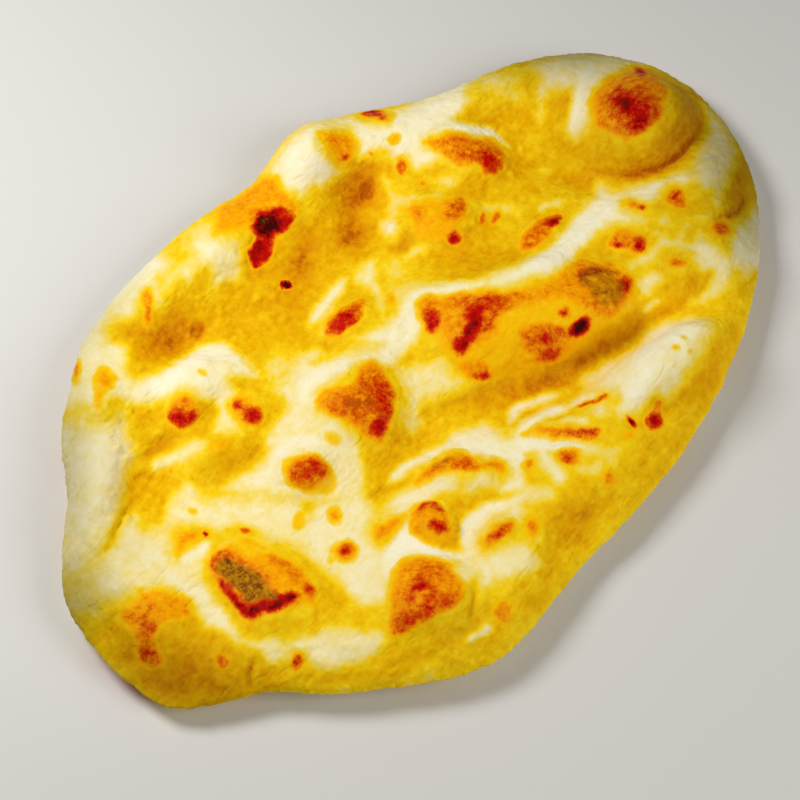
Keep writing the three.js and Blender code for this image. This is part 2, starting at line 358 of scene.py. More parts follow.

# Floury zones: crests and slopes painted pale, partly the crust's own floury colour and partly painted
# highlight where they face the light; 0.4 is buttery, 0.7 cream and 1 floury
PALE_AND_HIGHLIGHT_ZONES = [
    Patch("far left rim", 0.58, (
        (127, 347), (128, 372), (136, 380), (128, 402), (110, 396), (98, 407), (84, 403), (62, 410),
        (50, 404), (54, 384), (70, 350), (96, 308), (124, 272), (158, 246), (152, 262), (157, 279),
        (163, 300), (157, 303), (152, 290), (143, 288), (138, 300), (133, 316), (112, 317), (103, 326),
        (106, 338))),
    Patch("left rim", 0.58, (
        (54, 428), (76, 426), (98, 428), (116, 418), (128, 410), (130, 430), (137, 448), (138, 466),
        (127, 474), (124, 498), (115, 528), (103, 550), (95, 566), (88, 574), (74, 576), (52, 570),
        (50, 500)), 5),
    Spot("near left rim", 0.44, (86, 592), (30, 26), 30, 8),
    Spot("left rim's crest", 0.78, (90, 462), (20, 36), 0, 14),
    Stroke("left rim's top", 0.8, ((104, 308), (128, 280), (150, 266), (166, 260)), 20),
    Spot("left rim's far crest", 0.72, (92, 334), (10, 34), 32, 8),
    Patch("near left slope", 0.58, (
        (97, 566), (112, 542), (124, 522), (137, 511), (144, 526), (158, 528), (168, 532), (172, 552),
        (188, 556), (206, 552), (206, 578), (214, 596), (226, 612), (238, 630), (252, 638), (272, 634),
        (286, 644), (268, 656), (250, 648), (234, 643), (222, 630), (204, 628), (197, 612), (188, 598),
        (165, 588), (140, 591), (122, 599), (104, 598)), 3.5),
    Stroke("channel by the near lobe", 0.66, ((156, 574), (190, 588), (212, 610), (236, 634)), 13),
    Stroke("crest by the black tip", 0.74, ((182, 562), (196, 553), (212, 541)), 11),
    Patch("near left field", 0.58, (
        (164, 528), (168, 502), (180, 489), (188, 484), (198, 488), (204, 500), (236, 500), (258, 498),
        (282, 498), (300, 502), (305, 520), (318, 536), (314, 552), (298, 548), (280, 542), (262, 537),
        (250, 526), (228, 528), (220, 534), (204, 528), (184, 526))),
    Patch("field left of the heart", 0.6, (
        (292, 362), (300, 353), (322, 351), (314, 364), (330, 361), (346, 355), (360, 351), (372, 350),
        (370, 359), (357, 363), (349, 371), (338, 379), (322, 388), (317, 398), (320, 411), (332, 417),
        (346, 427), (357, 441), (364, 456), (365, 480), (360, 502), (338, 502), (304, 500), (276, 496),
        (246, 491), (220, 488), (236, 480), (256, 470), (268, 452), (262, 442), (276, 420), (286, 404),
        (276, 392), (284, 378))),
    Stroke("ridge crest by the heart", 0.88, ((302, 402), (310, 380), (330, 370), (352, 358)), 13),
    Spot("left of the round toast", 0.8, (262, 474), (20, 9), -25, 5),
    Spot("over the heart", 0.8, (378, 354), (14, 7), -10, 4),
    Stroke("crest over the round toast", 0.9, ((272, 462), (285, 448), (302, 440), (324, 441)), 10),
    Spot("joining field", 0.54, (262, 497), (46, 7), -2, 5),
    Spot("dim field", 0.44, (278, 372), (14, 18), 10, 6),
    Patch("near field", 0.64, (
        (318, 502), (362, 498), (374, 512), (368, 534), (380, 546), (398, 546), (400, 566), (392, 578),
        (388, 598), (376, 604), (361, 608), (348, 596), (338, 582), (322, 569), (308, 556), (304, 540),
        (306, 520))),
    Stroke("under the blister", 0.9, ((390, 564), (402, 542), (420, 546), (456, 558)), 12),
    Patch("blister's foot", 0.9, (
        (392, 542), (402, 526), (411, 519), (416, 532), (424, 544), (442, 549), (466, 553), (466, 561),
        (440, 558), (416, 557), (402, 566), (390, 578), (384, 562))),
    Patch("front arch field", 0.58, (
        (460, 552), (462, 520), (472, 511), (490, 503), (506, 497), (524, 488), (546, 486), (556, 497),
        (536, 502), (526, 506), (522, 518), (514, 524), (506, 517), (494, 521), (483, 532), (480, 545),
        (486, 552), (502, 549), (516, 544), (532, 550), (542, 562), (540, 568), (526, 575), (508, 580),
        (494, 584), (483, 586), (476, 576), (470, 582), (464, 580), (456, 572))),
    Stroke("arch field's crest", 0.84, ((468, 550), (467, 526), (486, 510), (512, 502)), 11),
    Patch("arch's sill", 0.7, (
        (394, 510), (394, 498), (410, 487), (426, 477), (442, 474), (456, 479), (457, 487), (444, 493),
        (430, 500), (414, 509), (400, 514))),
    Stroke("crest over the arch", 0.7, ((386, 486), (402, 470), (424, 458), (450, 449)), 10),
    Patch("arch's end", 0.54, (
        (462, 496), (462, 488), (471, 479), (480, 472), (492, 474), (501, 481), (500, 490), (482, 490))),
    Patch("front shelf", 0.74, (
        (444, 449), (450, 435), (466, 427), (486, 423), (496, 431), (506, 438), (516, 433), (532, 437),
        (560, 441), (582, 443), (600, 448), (590, 453), (570, 450), (550, 450), (556, 461), (564, 472),
        (566, 482), (556, 486), (546, 474), (540, 464), (534, 452), (524, 456), (522, 470), (526, 482),
        (530, 486), (514, 492), (502, 494), (502, 484), (510, 472), (505, 460), (490, 456), (466, 452))),
    Stroke("crest right of the arch", 0.82, (
        (440, 449), (468, 447), (496, 451), (517, 458), (522, 474)), 10),
    Spot("left of the blister", 0.7, (398, 505), (18, 8), -25, 5),
    Stroke("front shelf's crest", 0.86, ((510, 445), (544, 443), (586, 449)), 11),
    Spot("shelf fleck", 0.56, (590, 469), (11, 5), -10),
    Spot("second shelf fleck", 0.5, (612, 454), (9, 5), -15),
    Stroke("first front wrinkle", 0.7, ((508, 424), (516, 409), (536, 402), (566, 391)), 10),
    Stroke("second front wrinkle", 0.78, ((516, 434), (530, 422), (552, 412), (572, 406)), 10),
    Stroke("third front wrinkle", 0.66, ((570, 405), (582, 399), (598, 395)), 8),
    Stroke("fourth front wrinkle", 0.5, ((558, 424), (574, 420), (590, 422)), 6),
    Spot("fifth front wrinkle", 0.62, (600, 410), (6, 6)),
    Patch("valley's upper bank", 0.58, (
        (391, 361), (406, 365), (422, 362), (436, 357), (446, 363), (454, 377), (465, 384), (452, 391),
        (430, 400), (422, 410), (426, 425), (414, 436), (403, 430), (402, 414), (406, 398), (398, 378)), 4),
    Patch("front puff", 0.66, (
        (582, 380), (596, 372), (606, 362), (620, 355), (633, 345), (646, 333), (660, 323), (680, 317),
        (696, 315), (708, 318), (714, 330), (706, 341), (701, 353), (693, 366), (686, 378), (680, 388),
        (668, 402), (658, 396), (651, 396), (647, 406), (632, 415), (617, 416), (624, 401), (620, 393),
        (605, 393), (599, 385), (588, 386)), 5),
    Stroke("front puff's crest", 0.86, ((622, 412), (638, 386), (650, 358), (668, 336), (700, 325)), 19),
    Patch("front rim", 0.58, (
        (264, 652), (286, 645), (302, 637), (322, 632), (346, 627), (364, 632), (378, 630), (384, 640),
        (380, 650), (366, 660), (346, 666), (326, 668), (310, 663), (303, 654), (292, 653), (284, 661),
        (270, 665))),
    Stroke("streak by the front mound", 0.6, ((468, 642), (480, 634), (492, 625)), 8),
    Patch("pale mound", 0.66, (
        (126, 402), (130, 386), (142, 378), (156, 372), (170, 365), (182, 357), (192, 350), (206, 344),
        (226, 342), (236, 350), (247, 359), (260, 374), (254, 380), (240, 377), (228, 378), (236, 389),
        (236, 396), (228, 404), (234, 419), (241, 430), (226, 433), (212, 433), (217, 416), (212, 404),
        (200, 397), (190, 391), (178, 392), (166, 401), (152, 406), (138, 406))),
    Stroke("pale mound's crest", 0.9, ((136, 394), (162, 384), (188, 368), (214, 353), (238, 362)), 13),
    Stroke("slim ridge", 0.56, ((150, 470), (176, 456), (208, 440)), 14),
    Patch("far left shoulder", 0.54, (
        (188, 247), (192, 234), (208, 226), (215, 240), (240, 239), (242, 262), (240, 280), (224, 285),
        (211, 296), (207, 290), (211, 275), (205, 265), (197, 273), (189, 285), (178, 276), (168, 292),
        (165, 280), (173, 269), (186, 261), (196, 254)), 4),
    Spot("shoulder's crest", 0.72, (211, 247), (12, 12), 20, 6),
    Patch("knob", 0.84, (
        (256, 184), (268, 172), (276, 156), (284, 143), (298, 131), (316, 121), (352, 117), (354, 126),
        (336, 126), (320, 130), (318, 143), (326, 156), (336, 166), (348, 170), (336, 180), (326, 186),
        (314, 187), (308, 195), (300, 195), (292, 191), (284, 188), (276, 177)), 4),
    Patch("far rim", 0.8, (
        (352, 120), (372, 125), (388, 124), (384, 114), (400, 108), (420, 98), (440, 88), (456, 80),
        (472, 77), (465, 92), (467, 103), (461, 113), (450, 124), (432, 134), (424, 142), (425, 150),
        (436, 151), (434, 159), (415, 171), (408, 158), (401, 163), (391, 160), (389, 150), (373, 150),
        (362, 157), (355, 157), (358, 145), (354, 132))),
    Stroke("far mound's crest", 0.84, ((428, 136), (446, 128), (468, 128), (490, 132), (511, 148)), 9),
    Spot("top rim's left", 0.46, (496, 81), (22, 6), -8, 4),
    Spot("top rim's band", 0.4, (514, 93), (15, 6), 10, 4),
    Patch("pale saddle", 0.46, (
        (382, 180), (391, 182), (394, 196), (418, 197), (444, 190), (440, 196), (416, 202), (400, 204),
        (398, 216), (388, 214), (387, 198))),
    # Painted highlight on the lit side of the small bubble
    Spot("small bubble's light", 0.72, (389, 226), (9, 9)),
    Patch("under the small bubble", 0.58, (
        (404, 259), (412, 250), (420, 244), (430, 246), (428, 253), (415, 258))),
    Spot("pale spot by the middle mound", 0.52, (447, 181), (12, 7)),
    Spot("over the short marks", 0.5, (499, 208), (15, 5), 5),
    Spot("first pale fleck", 0.36, (308, 208), (5, 8), 0, 4),
    Spot("second pale fleck", 0.44, (546, 171), (8, 4), -45),
    Stroke("third pale fleck", 0.52, ((538, 213), (548, 205), (565, 201)), 6),
    Stroke("streak by the toasted dome", 0.7, ((308, 327), (322, 308), (332, 296), (348, 276)), 12),
    Patch("over the toasted dome", 0.6, (
        (351, 278), (358, 268), (366, 262), (375, 262), (378, 278), (384, 304), (378, 308), (372, 292),
        (360, 285))),
    Spot("left of the long ridge", 0.44, (394, 269), (9, 10), 20, 5),
    Spot("start of the long ridge", 0.44, (410, 289), (14, 6), -15, 4),
    Patch("ridge by the heart", 0.78, (
        (403, 298), (417, 296), (419, 312), (422, 326), (418, 339), (412, 347), (404, 356), (390, 364),
        (376, 358), (384, 346), (372, 342), (358, 338), (378, 327), (388, 321), (398, 313))),
    Stroke("long ridge's slim end", 0.8, ((410, 306), (420, 294), (436, 289), (458, 288), (484, 284)), 11),
    Patch("long ridge", 0.8, (
        (478, 284), (500, 273), (520, 267), (536, 260), (550, 250), (560, 239), (570, 228), (576, 215),
        (584, 207), (592, 197), (602, 182), (612, 191), (630, 187), (650, 180), (666, 176), (682, 172),
        (693, 177), (688, 184), (670, 184), (662, 191), (654, 200), (640, 199), (625, 199), (621, 208),
        (626, 215), (646, 218), (638, 223), (620, 222), (607, 229), (595, 236), (585, 246), (574, 258),
        (560, 268), (547, 275), (534, 275), (518, 283), (500, 287), (480, 290)), 3.5),
    Stroke("long ridge's crest", 0.92, ((512, 275), (556, 254), (583, 226), (606, 204)), 16),
    Patch("top rim", 0.58, (
        (532, 66), (560, 52), (600, 50), (632, 52), (646, 64), (630, 70), (615, 76), (605, 86), (596, 97),
        (590, 111), (589, 132), (577, 142), (565, 132), (566, 122), (571, 111), (575, 92), (563, 91),
        (552, 92), (546, 100), (540, 122), (535, 118), (537, 104), (535, 90), (541, 78)), 3.5),
    Patch("right rim", 0.55, (
        (704, 104), (714, 112), (726, 126), (736, 142), (740, 152), (734, 167), (727, 183), (720, 196),
        (715, 208), (711, 193), (702, 191), (692, 173), (696, 155), (701, 140), (707, 127)), 4),
    Patch("right end", 0.58, (
        (754, 204), (766, 225), (768, 250), (762, 264), (748, 277), (736, 269), (728, 285), (715, 298),
        (700, 305), (689, 304), (702, 294), (711, 283), (714, 271), (704, 272), (694, 266), (690, 250),
        (670, 248), (660, 253), (654, 262), (640, 268), (632, 273), (627, 265), (640, 255), (651, 248),
        (658, 240), (656, 231), (672, 239), (682, 227), (688, 223), (684, 236), (692, 242), (701, 236),
        (713, 244), (728, 255), (735, 240), (741, 228), (748, 217))),
    Stroke("streak by the corner bubble", 0.86, ((592, 68), (581, 94), (574, 130)), 13),
    Spot("right end's middle", 0.7, (742, 240), (12, 20), 10, 5),
    # Painted highlight along the right end
    Stroke("right end's light", 0.82, ((758, 218), (764, 242), (754, 268)), 11),
    Spot("plateau fleck", 0.44, (664, 220), (7, 6)),
    Spot("front puff's tail", 0.6, (598, 378), (17, 8), -35, 6),
    Patch("pale path by the pillow", 0.58, (
        (624, 311), (627, 297), (635, 288), (642, 275), (654, 271), (663, 278), (655, 288), (648, 297),
        (638, 298), (630, 305))),
    Stroke("fold above the puff", 0.48, ((643, 313), (650, 305), (659, 300)), 6),
]

# Dusky zones: painted shade that darkens the ends and rims where the light falls off
FALLOFF_SHADE_ZONES = [
    Spot("far corner", 0.9, (716, 92), (120, 84), 40, 34),
    Spot("top rim", 1.0, (576, 44), (104, 44), -3, 14),
    Spot("right rim", 1.0, (748, 168), (60, 116), -20, 14),
    Spot("bubble's shade", 0.46, (628, 144), (58, 32), -8, 18),
    Spot("plateau", 0.42, (704, 226), (50, 50), 0, 22),
    Spot("left rim", 0.8, (54, 470), (50, 130), 0, 16),
    Spot("left rim's shaded band", 0.55, (92, 415), (24, 11), 10, 6),
    Spot("far left rim", 0.65, (86, 330), (24, 70), 32, 16),
    Spot("near left rim", 1.0, (58, 610), (56, 76), 20, 16),
    Spot("near left slope", 0.4, (116, 548), (34, 30), 30, 14),
    Spot("near lobe", 0.7, (164, 694), (120, 58), 20, 20),
]

# Toasted marks: 0.3 is deep yellow, 0.5 orange, 0.75 rust and 1 black
TOASTED = [
    Spot("edge spot", 0.61, (374, 116), (16, 6), -5),
    Spot("edge spot's core", 0.95, (369, 112), (8, 4), -5),
    Spot("top ring", 0.36, (394, 139), (8, 7)),
    Patch("knob toast", 0.46, (
        (320, 131), (334, 128), (349, 131), (357, 142), (355, 155), (343, 164), (330, 155))),
    Spot("knob speck", 0.75, (344, 158), (4, 3)),
    Spot("far speck", 0.7, (371, 155), (3, 3), 0, 2),
    Spot("small toast", 0.68, (401, 168), (6, 10), 15),
    Spot("toast dot", 0.56, (423, 182), (5, 4)),
    Patch("far char's orange", 0.42, (
        (218, 208), (256, 180), (276, 176), (284, 190), (299, 200), (300, 213), (290, 226), (274, 246),
        (258, 236), (243, 231), (215, 234), (213, 226))),
    Patch("far char", 0.84, (
        (254, 214), (272, 209), (290, 212), (296, 218), (288, 228), (274, 240), (266, 258), (254, 268),
        (249, 252), (258, 236))),
    Spot("far char's red", 0.86, (284, 221), (12, 10), -25, 4),
    Spot("far char's core", 1.2, (268, 225), (17, 11), -20, 4),
    Spot("far char's tail", 0.94, (262, 251), (12, 15), 20, 4),
    Spot("orange smear's top", 0.34, (147, 297), (9, 11), 0, 4),
    Stroke("orange smear", 0.5, ((147, 290), (147, 308), (148, 328)), 9),
    Spot("rim dot", 0.54, (76, 373), (5, 9), 5),
    Spot("rim toast", 0.44, (105, 380), (10, 12), 10),
    Stroke("rim toast's tail", 0.34, ((104, 386), (97, 408)), 12),
    Spot("black speck", 1.6, (285, 285), (5, 4), 20, 1.5),
    Patch("toasted dome", 0.56, (
        (321, 334), (329, 317), (342, 305), (358, 297), (368, 299), (365, 312), (350, 330), (334, 336))),
    Spot("toasted dome's core", 0.84, (342, 324), (20, 12), -38, 6),
    Spot("blotch by the long ridge", 0.36, (392, 300), (8, 11), 0, 5),
    Patch("heart", 0.5, (
        (371, 361), (384, 367), (393, 380), (395, 402), (391, 430), (384, 445), (370, 442), (355, 431),
        (337, 418), (321, 410), (317, 399), (330, 388), (351, 380), (358, 367)), 2.5),
    Spot("heart's brown", 0.6, (364, 402), (26, 20), -15, 10),
    Spot("heart's rust", 0.76, (384, 400), (8, 22), -5, 6),
    Spot("heart's core", 0.88, (380, 428), (9, 10)),
    Patch("first paired spot", 0.48, (
        (167, 411), (174, 399), (185, 393), (197, 399), (203, 412), (197, 422), (183, 425), (171, 421))),
    Spot("first paired spot's core", 0.88, (183, 418), (17, 9), -5, 4),
    Spot("pale mound's fleck", 0.26, (202, 371), (6, 5)),
    Spot("heart's foot", 0.24, (332, 436), (16, 8), 25, 6),
    Spot("first field fleck", 0.24, (195, 511), (8, 6), 0, 4),
    Spot("second field fleck", 0.24, (331, 560), (6, 6), 0, 4),
    Spot("second paired spot's glow", 0.34, (247, 410), (20, 17), 30, 4),
    Patch("second paired spot", 0.5, (
        (231, 401), (240, 398), (252, 405), (263, 412), (265, 420), (258, 426), (249, 422), (240, 411))),
    Spot("second paired spot's core", 0.84, (254, 415), (10, 8), 20, 4),
    Spot("second paired spot's end", 0.8, (238, 404), (5, 4), 20),
    Spot("slim mound's brown", 0.36, (218, 447), (18, 9), -25, 7),
    Spot("small orange by the basin", 0.46, (172, 470), (5, 6), 0, 4),
    Patch("orange triangle", 0.46, ((173, 532), (188, 529), (206, 534), (188, 547), (176, 556))),
    Spot("black tip", 1.2, (205, 533), (3, 1.6), 10, 1),
    Spot("small red spot", 0.68, (244, 532), (7, 5)),
    Stroke("small red spot's tail", 0.34, ((236, 540), (252, 545), (268, 548)), 8),
    Patch("front char's orange", 0.4, (
        (205, 566), (214, 548), (230, 541), (252, 550), (280, 552), (304, 568), (316, 590), (322, 612),
        (300, 608), (272, 616), (250, 626), (232, 606), (214, 588))),
    Patch("front char", 0.58, (
        (211, 562), (226, 548), (246, 559), (266, 575), (281, 594), (299, 592), (282, 604), (254, 617),
        (243, 610), (231, 594), (219, 580)), 2.5),
    Stroke("front char's left edge", 0.84, ((218, 578), (232, 600), (248, 616)), 8),
    Stroke("front char's edge", 1.0, ((236, 608), (252, 613), (270, 606), (286, 597), (300, 592)), 9),
    Spot("front char's end mark", 0.68, (309, 589), (5, 9), -20),
    Stroke("front char's band", 0.5, ((262, 556), (286, 566), (304, 582)), 8),
    Spot("round toast's glow", 0.28, (313, 478), (27, 20), 10, 4),
    Spot("round toast", 0.52, (306, 473), (23, 17), -10),
    Spot("round toast's core", 0.68, (310, 471), (17, 12), -20, 6),
    Spot("pale gold blot", 0.28, (299, 522), (8, 12), 0, 4),
    Spot("small orange", 0.46, (332, 516), (7, 7)),
    Spot("small toast by the near middle", 0.54, (345, 550), (13, 12)),
    Spot("small toast's core", 0.76, (347, 548), (7, 5), -40, 4),
    Patch("teardrop", 0.47, (
        (372, 537), (376, 525), (390, 519), (408, 515), (402, 525), (388, 538), (377, 542))),
    Spot("rimmed blister's glow", 0.34, (434, 524), (25, 22), 30),
    Spot("rimmed blister", 0.41, (431, 519), (21, 15), 20),
    Spot("rimmed blister's core", 0.9, (439, 526), (9, 8), 0, 4),
    Stroke("rimmed blister's rim", 0.64, ((412, 516), (424, 506), (440, 508), (448, 520)), 5),
    Patch("slant blister", 0.44, (
        (481, 541), (486, 529), (502, 522), (515, 521), (511, 534), (498, 546), (486, 549))),
    Spot("slant blister's core", 0.74, (499, 533), (12, 7), -38, 4),
    Patch("front mound", 0.45, (
        (389, 630), (390, 585), (402, 562), (420, 556), (446, 558), (457, 574), (466, 584), (466, 596),
        (452, 608), (428, 618), (404, 630))),
    Spot("front mound's middle", 0.58, (422, 592), (22, 16), -35, 8),
    Spot("front mound's upper core", 0.9, (419, 586), (8, 6), 0, 4),
    Stroke("front mound's streak", 0.68, ((390, 634), (422, 613), (460, 597)), 17),
    Spot("front mound's brown", 0.54, (432, 570), (16, 9), 0, 7),
    Spot("soft orange on the front rim", 0.5, (503, 612), (13, 13), 0, 8),
    Patch("near lobe's orange", 0.44, (
        (117, 609), (138, 598), (140, 589), (158, 587), (179, 593), (192, 607), (192, 620), (165, 627),
        (158, 640), (166, 664), (151, 672), (137, 660), (126, 632)), 7),
    Spot("near lobe's brown", 0.62, (150, 656), (14, 13), 0, 12),
    Spot("near lobe's streak", 0.58, (147, 626), (9, 18), 5, 9),
    Spot("side spot", 0.6, (222, 662), (8, 10), 0, 5),
    Spot("rim spot", 0.74, (296, 664), (7, 10), 5, 4),
    Spot("far mound's rust", 0.6, (468, 153), (24, 12), 12, 9),
    Patch("far mound", 0.52, (
        (424, 142), (439, 134), (463, 133), (488, 137), (503, 148), (505, 163), (498, 175), (489, 171),
        (481, 160), (469, 167), (457, 171), (443, 156))),
    Spot("far mound's core", 0.82, (488, 163), (12, 14), -18, 4),
    Spot("middle mound's orange", 0.36, (437, 220), (34, 27), 0, 14),
    Spot("middle mound's left brown", 0.5, (414, 212), (9, 6), 0, 6),
    Spot("middle mound's brown", 0.56, (455, 207), (13, 13), 0, 8),
    Spot("middle mound's core", 0.95, (454, 241), (9, 7)),
    Spot("first short mark", 0.62, (482, 219), (5, 9), 5),
    Spot("second short mark", 0.62, (494, 218), (5, 10), 8),
    Patch("toasted ridge spot", 0.57, (
        (516, 242), (526, 225), (545, 217), (557, 214), (564, 222), (557, 232), (543, 244), (526, 254),
        (518, 251))),
    Spot("toasted ridge spot's core", 0.88, (555, 224), (8, 5), -30),
    Patch("corner disc", 0.47, (
        (589, 106), (596, 86), (613, 73), (635, 68), (659, 74), (671, 89), (669, 106), (659, 121),
        (644, 135), (625, 143), (606, 135), (594, 123))),
    Spot("corner disc's core", 0.98, (626, 102), (15, 11), 20, 4),
    Spot("corner disc's second core", 0.9, (641, 119), (16, 10), -40, 4),
    Spot("corner disc's rust", 0.68, (634, 108), (24, 20), 30, 10),
    Spot("corner speck", 0.85, (641, 73), (5, 3)),
    Spot("second corner speck", 0.88, (619, 88), (3, 3), 0, 2),
    Spot("plateau spot", 0.5, (634, 205), (13, 6), 5, 4),
    Spot("plateau spot's core", 0.8, (642, 207), (5, 3), 10),
    Spot("far plateau spot", 0.6, (677, 198), (12, 12), 0, 4),
    Patch("plateau toast", 0.48, (
        (606, 246), (615, 232), (632, 228), (647, 239), (645, 251), (632, 254), (616, 249))),
    Spot("plateau toast's rust", 0.8, (617, 245), (8, 4), -10),
    Spot("plateau toast's dark", 0.84, (639, 243), (7, 7), 0, 4),
    Spot("plateau orange", 0.52, (676, 263), (12, 9), 0, 5),
    Spot("right spot", 0.56, (721, 228), (13, 10), 0, 7),
    Patch("pillow's glow", 0.3, (
        (418, 304), (432, 293), (470, 291), (520, 284), (560, 268), (590, 255), (628, 268), (642, 288),
        (636, 312), (606, 332), (578, 354), (540, 370), (500, 382), (462, 380), (444, 362), (428, 338)), 8),
    Patch("pillow", 0.45, (
        (417, 307), (427, 295), (446, 295), (470, 292), (511, 290), (545, 285), (565, 270), (582, 258),
        (601, 263), (623, 273), (633, 286), (620, 312), (603, 317), (585, 310), (560, 300), (530, 304),
        (506, 312), (494, 330), (478, 344), (460, 351), (447, 345), (440, 322), (430, 335), (422, 331)), 4),
    Patch("pillow's lower toast", 0.48, (
        (520, 341), (529, 327), (548, 321), (566, 330), (563, 350), (546, 363), (529, 356)), 4),
    Spot("pillow's far end", 0.5, (429, 308), (8, 11), 0, 5),
    Spot("pillow's brown end", 0.86, (431, 320), (8, 12), -5, 4),
    Stroke("pillow's streak", 1.04, ((453, 355), (462, 341), (472, 325), (486, 302)), 12),
    Spot("pillow's streak side", 0.64, (488, 324), (11, 14), 20, 8),
    Spot("pillow's streak grain", 0.68, (484, 303), (26, 13), -8, 10),
    Spot("pillow's grains", 0.52, (546, 343), (24, 18), 0, 10),
    Spot("pillow's lower grains", 0.76, (551, 354), (11, 6), 0, 5),
    Spot("pillow's left grains", 0.66, (529, 339), (6, 6), 0, 4),
    Spot("pillow's right grains", 0.68, (561, 331), (7, 5), 0, 4),
    Spot("pillow's grain core", 0.86, (543, 338), (8, 5), -10, 4),
    Spot("pillow's speck", 0.8, (563, 311), (5, 3), 0, 2),
    Spot("pillow's black spot", 1.25, (580, 326), (12, 8), -30),
    Patch("pillow's char", 0.5, (
        (578, 270), (600, 266), (623, 274), (633, 286), (621, 308), (602, 309), (584, 294)), 4),
    Spot("pillow's char edge", 0.86, (626, 285), (7, 8), 0, 4),
    Stroke("pillow's char brow", 0.86, ((576, 276), (590, 272), (606, 272)), 6),
    Spot("pillow's lower spot", 0.5, (477, 370), (19, 11), 8),
    Spot("pillow's lower core", 0.86, (483, 374), (7, 4), 10),
    Patch("front toasted ridge", 0.48, (
        (523, 434), (537, 425), (561, 428), (583, 429), (598, 428), (602, 435), (592, 442), (568, 437),
        (544, 435)), 2.5),
    Spot("front toasted ridge's brown", 0.68, (578, 432), (28, 8), 3, 6),
    Spot("front toasted ridge's glow", 0.36, (628, 434), (14, 8), 0, 6),
    Stroke("brown line", 0.62, ((573, 408), (592, 401), (615, 394)), 5),
    Spot("dark speck", 1.15, (631, 421), (7, 3.5), 40, 2),
    Spot("red spot", 0.96, (654, 421), (11, 10), 0, 2.5),
    Stroke("red spot's tail", 0.56, ((654, 418), (658, 402)), 9),
    Spot("front rim spot", 0.64, (569, 458), (12, 8)),
    Spot("small front spot", 0.52, (530, 464), (7, 5)),
    Stroke("small front spot's tail", 0.3, ((528, 468), (533, 478)), 6),
    Spot("soft front orange", 0.48, (609, 480), (8, 10), 0, 6),
    Patch("arch", 0.52, (
        (412, 483), (427, 465), (446, 454), (464, 453), (478, 460), (492, 458), (506, 464), (504, 473),
        (488, 471), (476, 474), (458, 473), (438, 475), (422, 483)), 2.5),
    Spot("arch's brown", 0.66, (464, 465), (12, 6), 15, 4),
    Spot("second soft orange", 0.46, (532, 528), (9, 13), 0, 6),
    Spot("puff dot", 0.26, (675, 347), (6, 5), 0, 4),
    Spot("second puff dot", 0.24, (684, 339), (5, 3), 0, 4),
    Spot("third puff dot", 0.24, (690, 352), (5, 4), 0, 4),
]

# Charred marks: ash and soot over the toast
CHARRED = [
    Spot("far char", 0.4, (266, 222), (9, 6), -20, 4),
    Patch("front char", 1.0, (
        (214, 570), (224, 557), (240, 560), (256, 570), (268, 582), (279, 597), (266, 602), (252, 606),
        (238, 596), (224, 582)), 4),
    Patch("pillow's char", 0.66, (
        (572, 278), (584, 264), (604, 264), (624, 276), (628, 288), (618, 306), (600, 306), (586, 294)), 6),
    Spot("heart", 0.42, (358, 402), (22, 13), -15, 8),
    Spot("arch", 0.6, (444, 462), (18, 7), -18, 4),
    Spot("corner disc", 0.22, (612, 98), (20, 24), 30, 10),
]

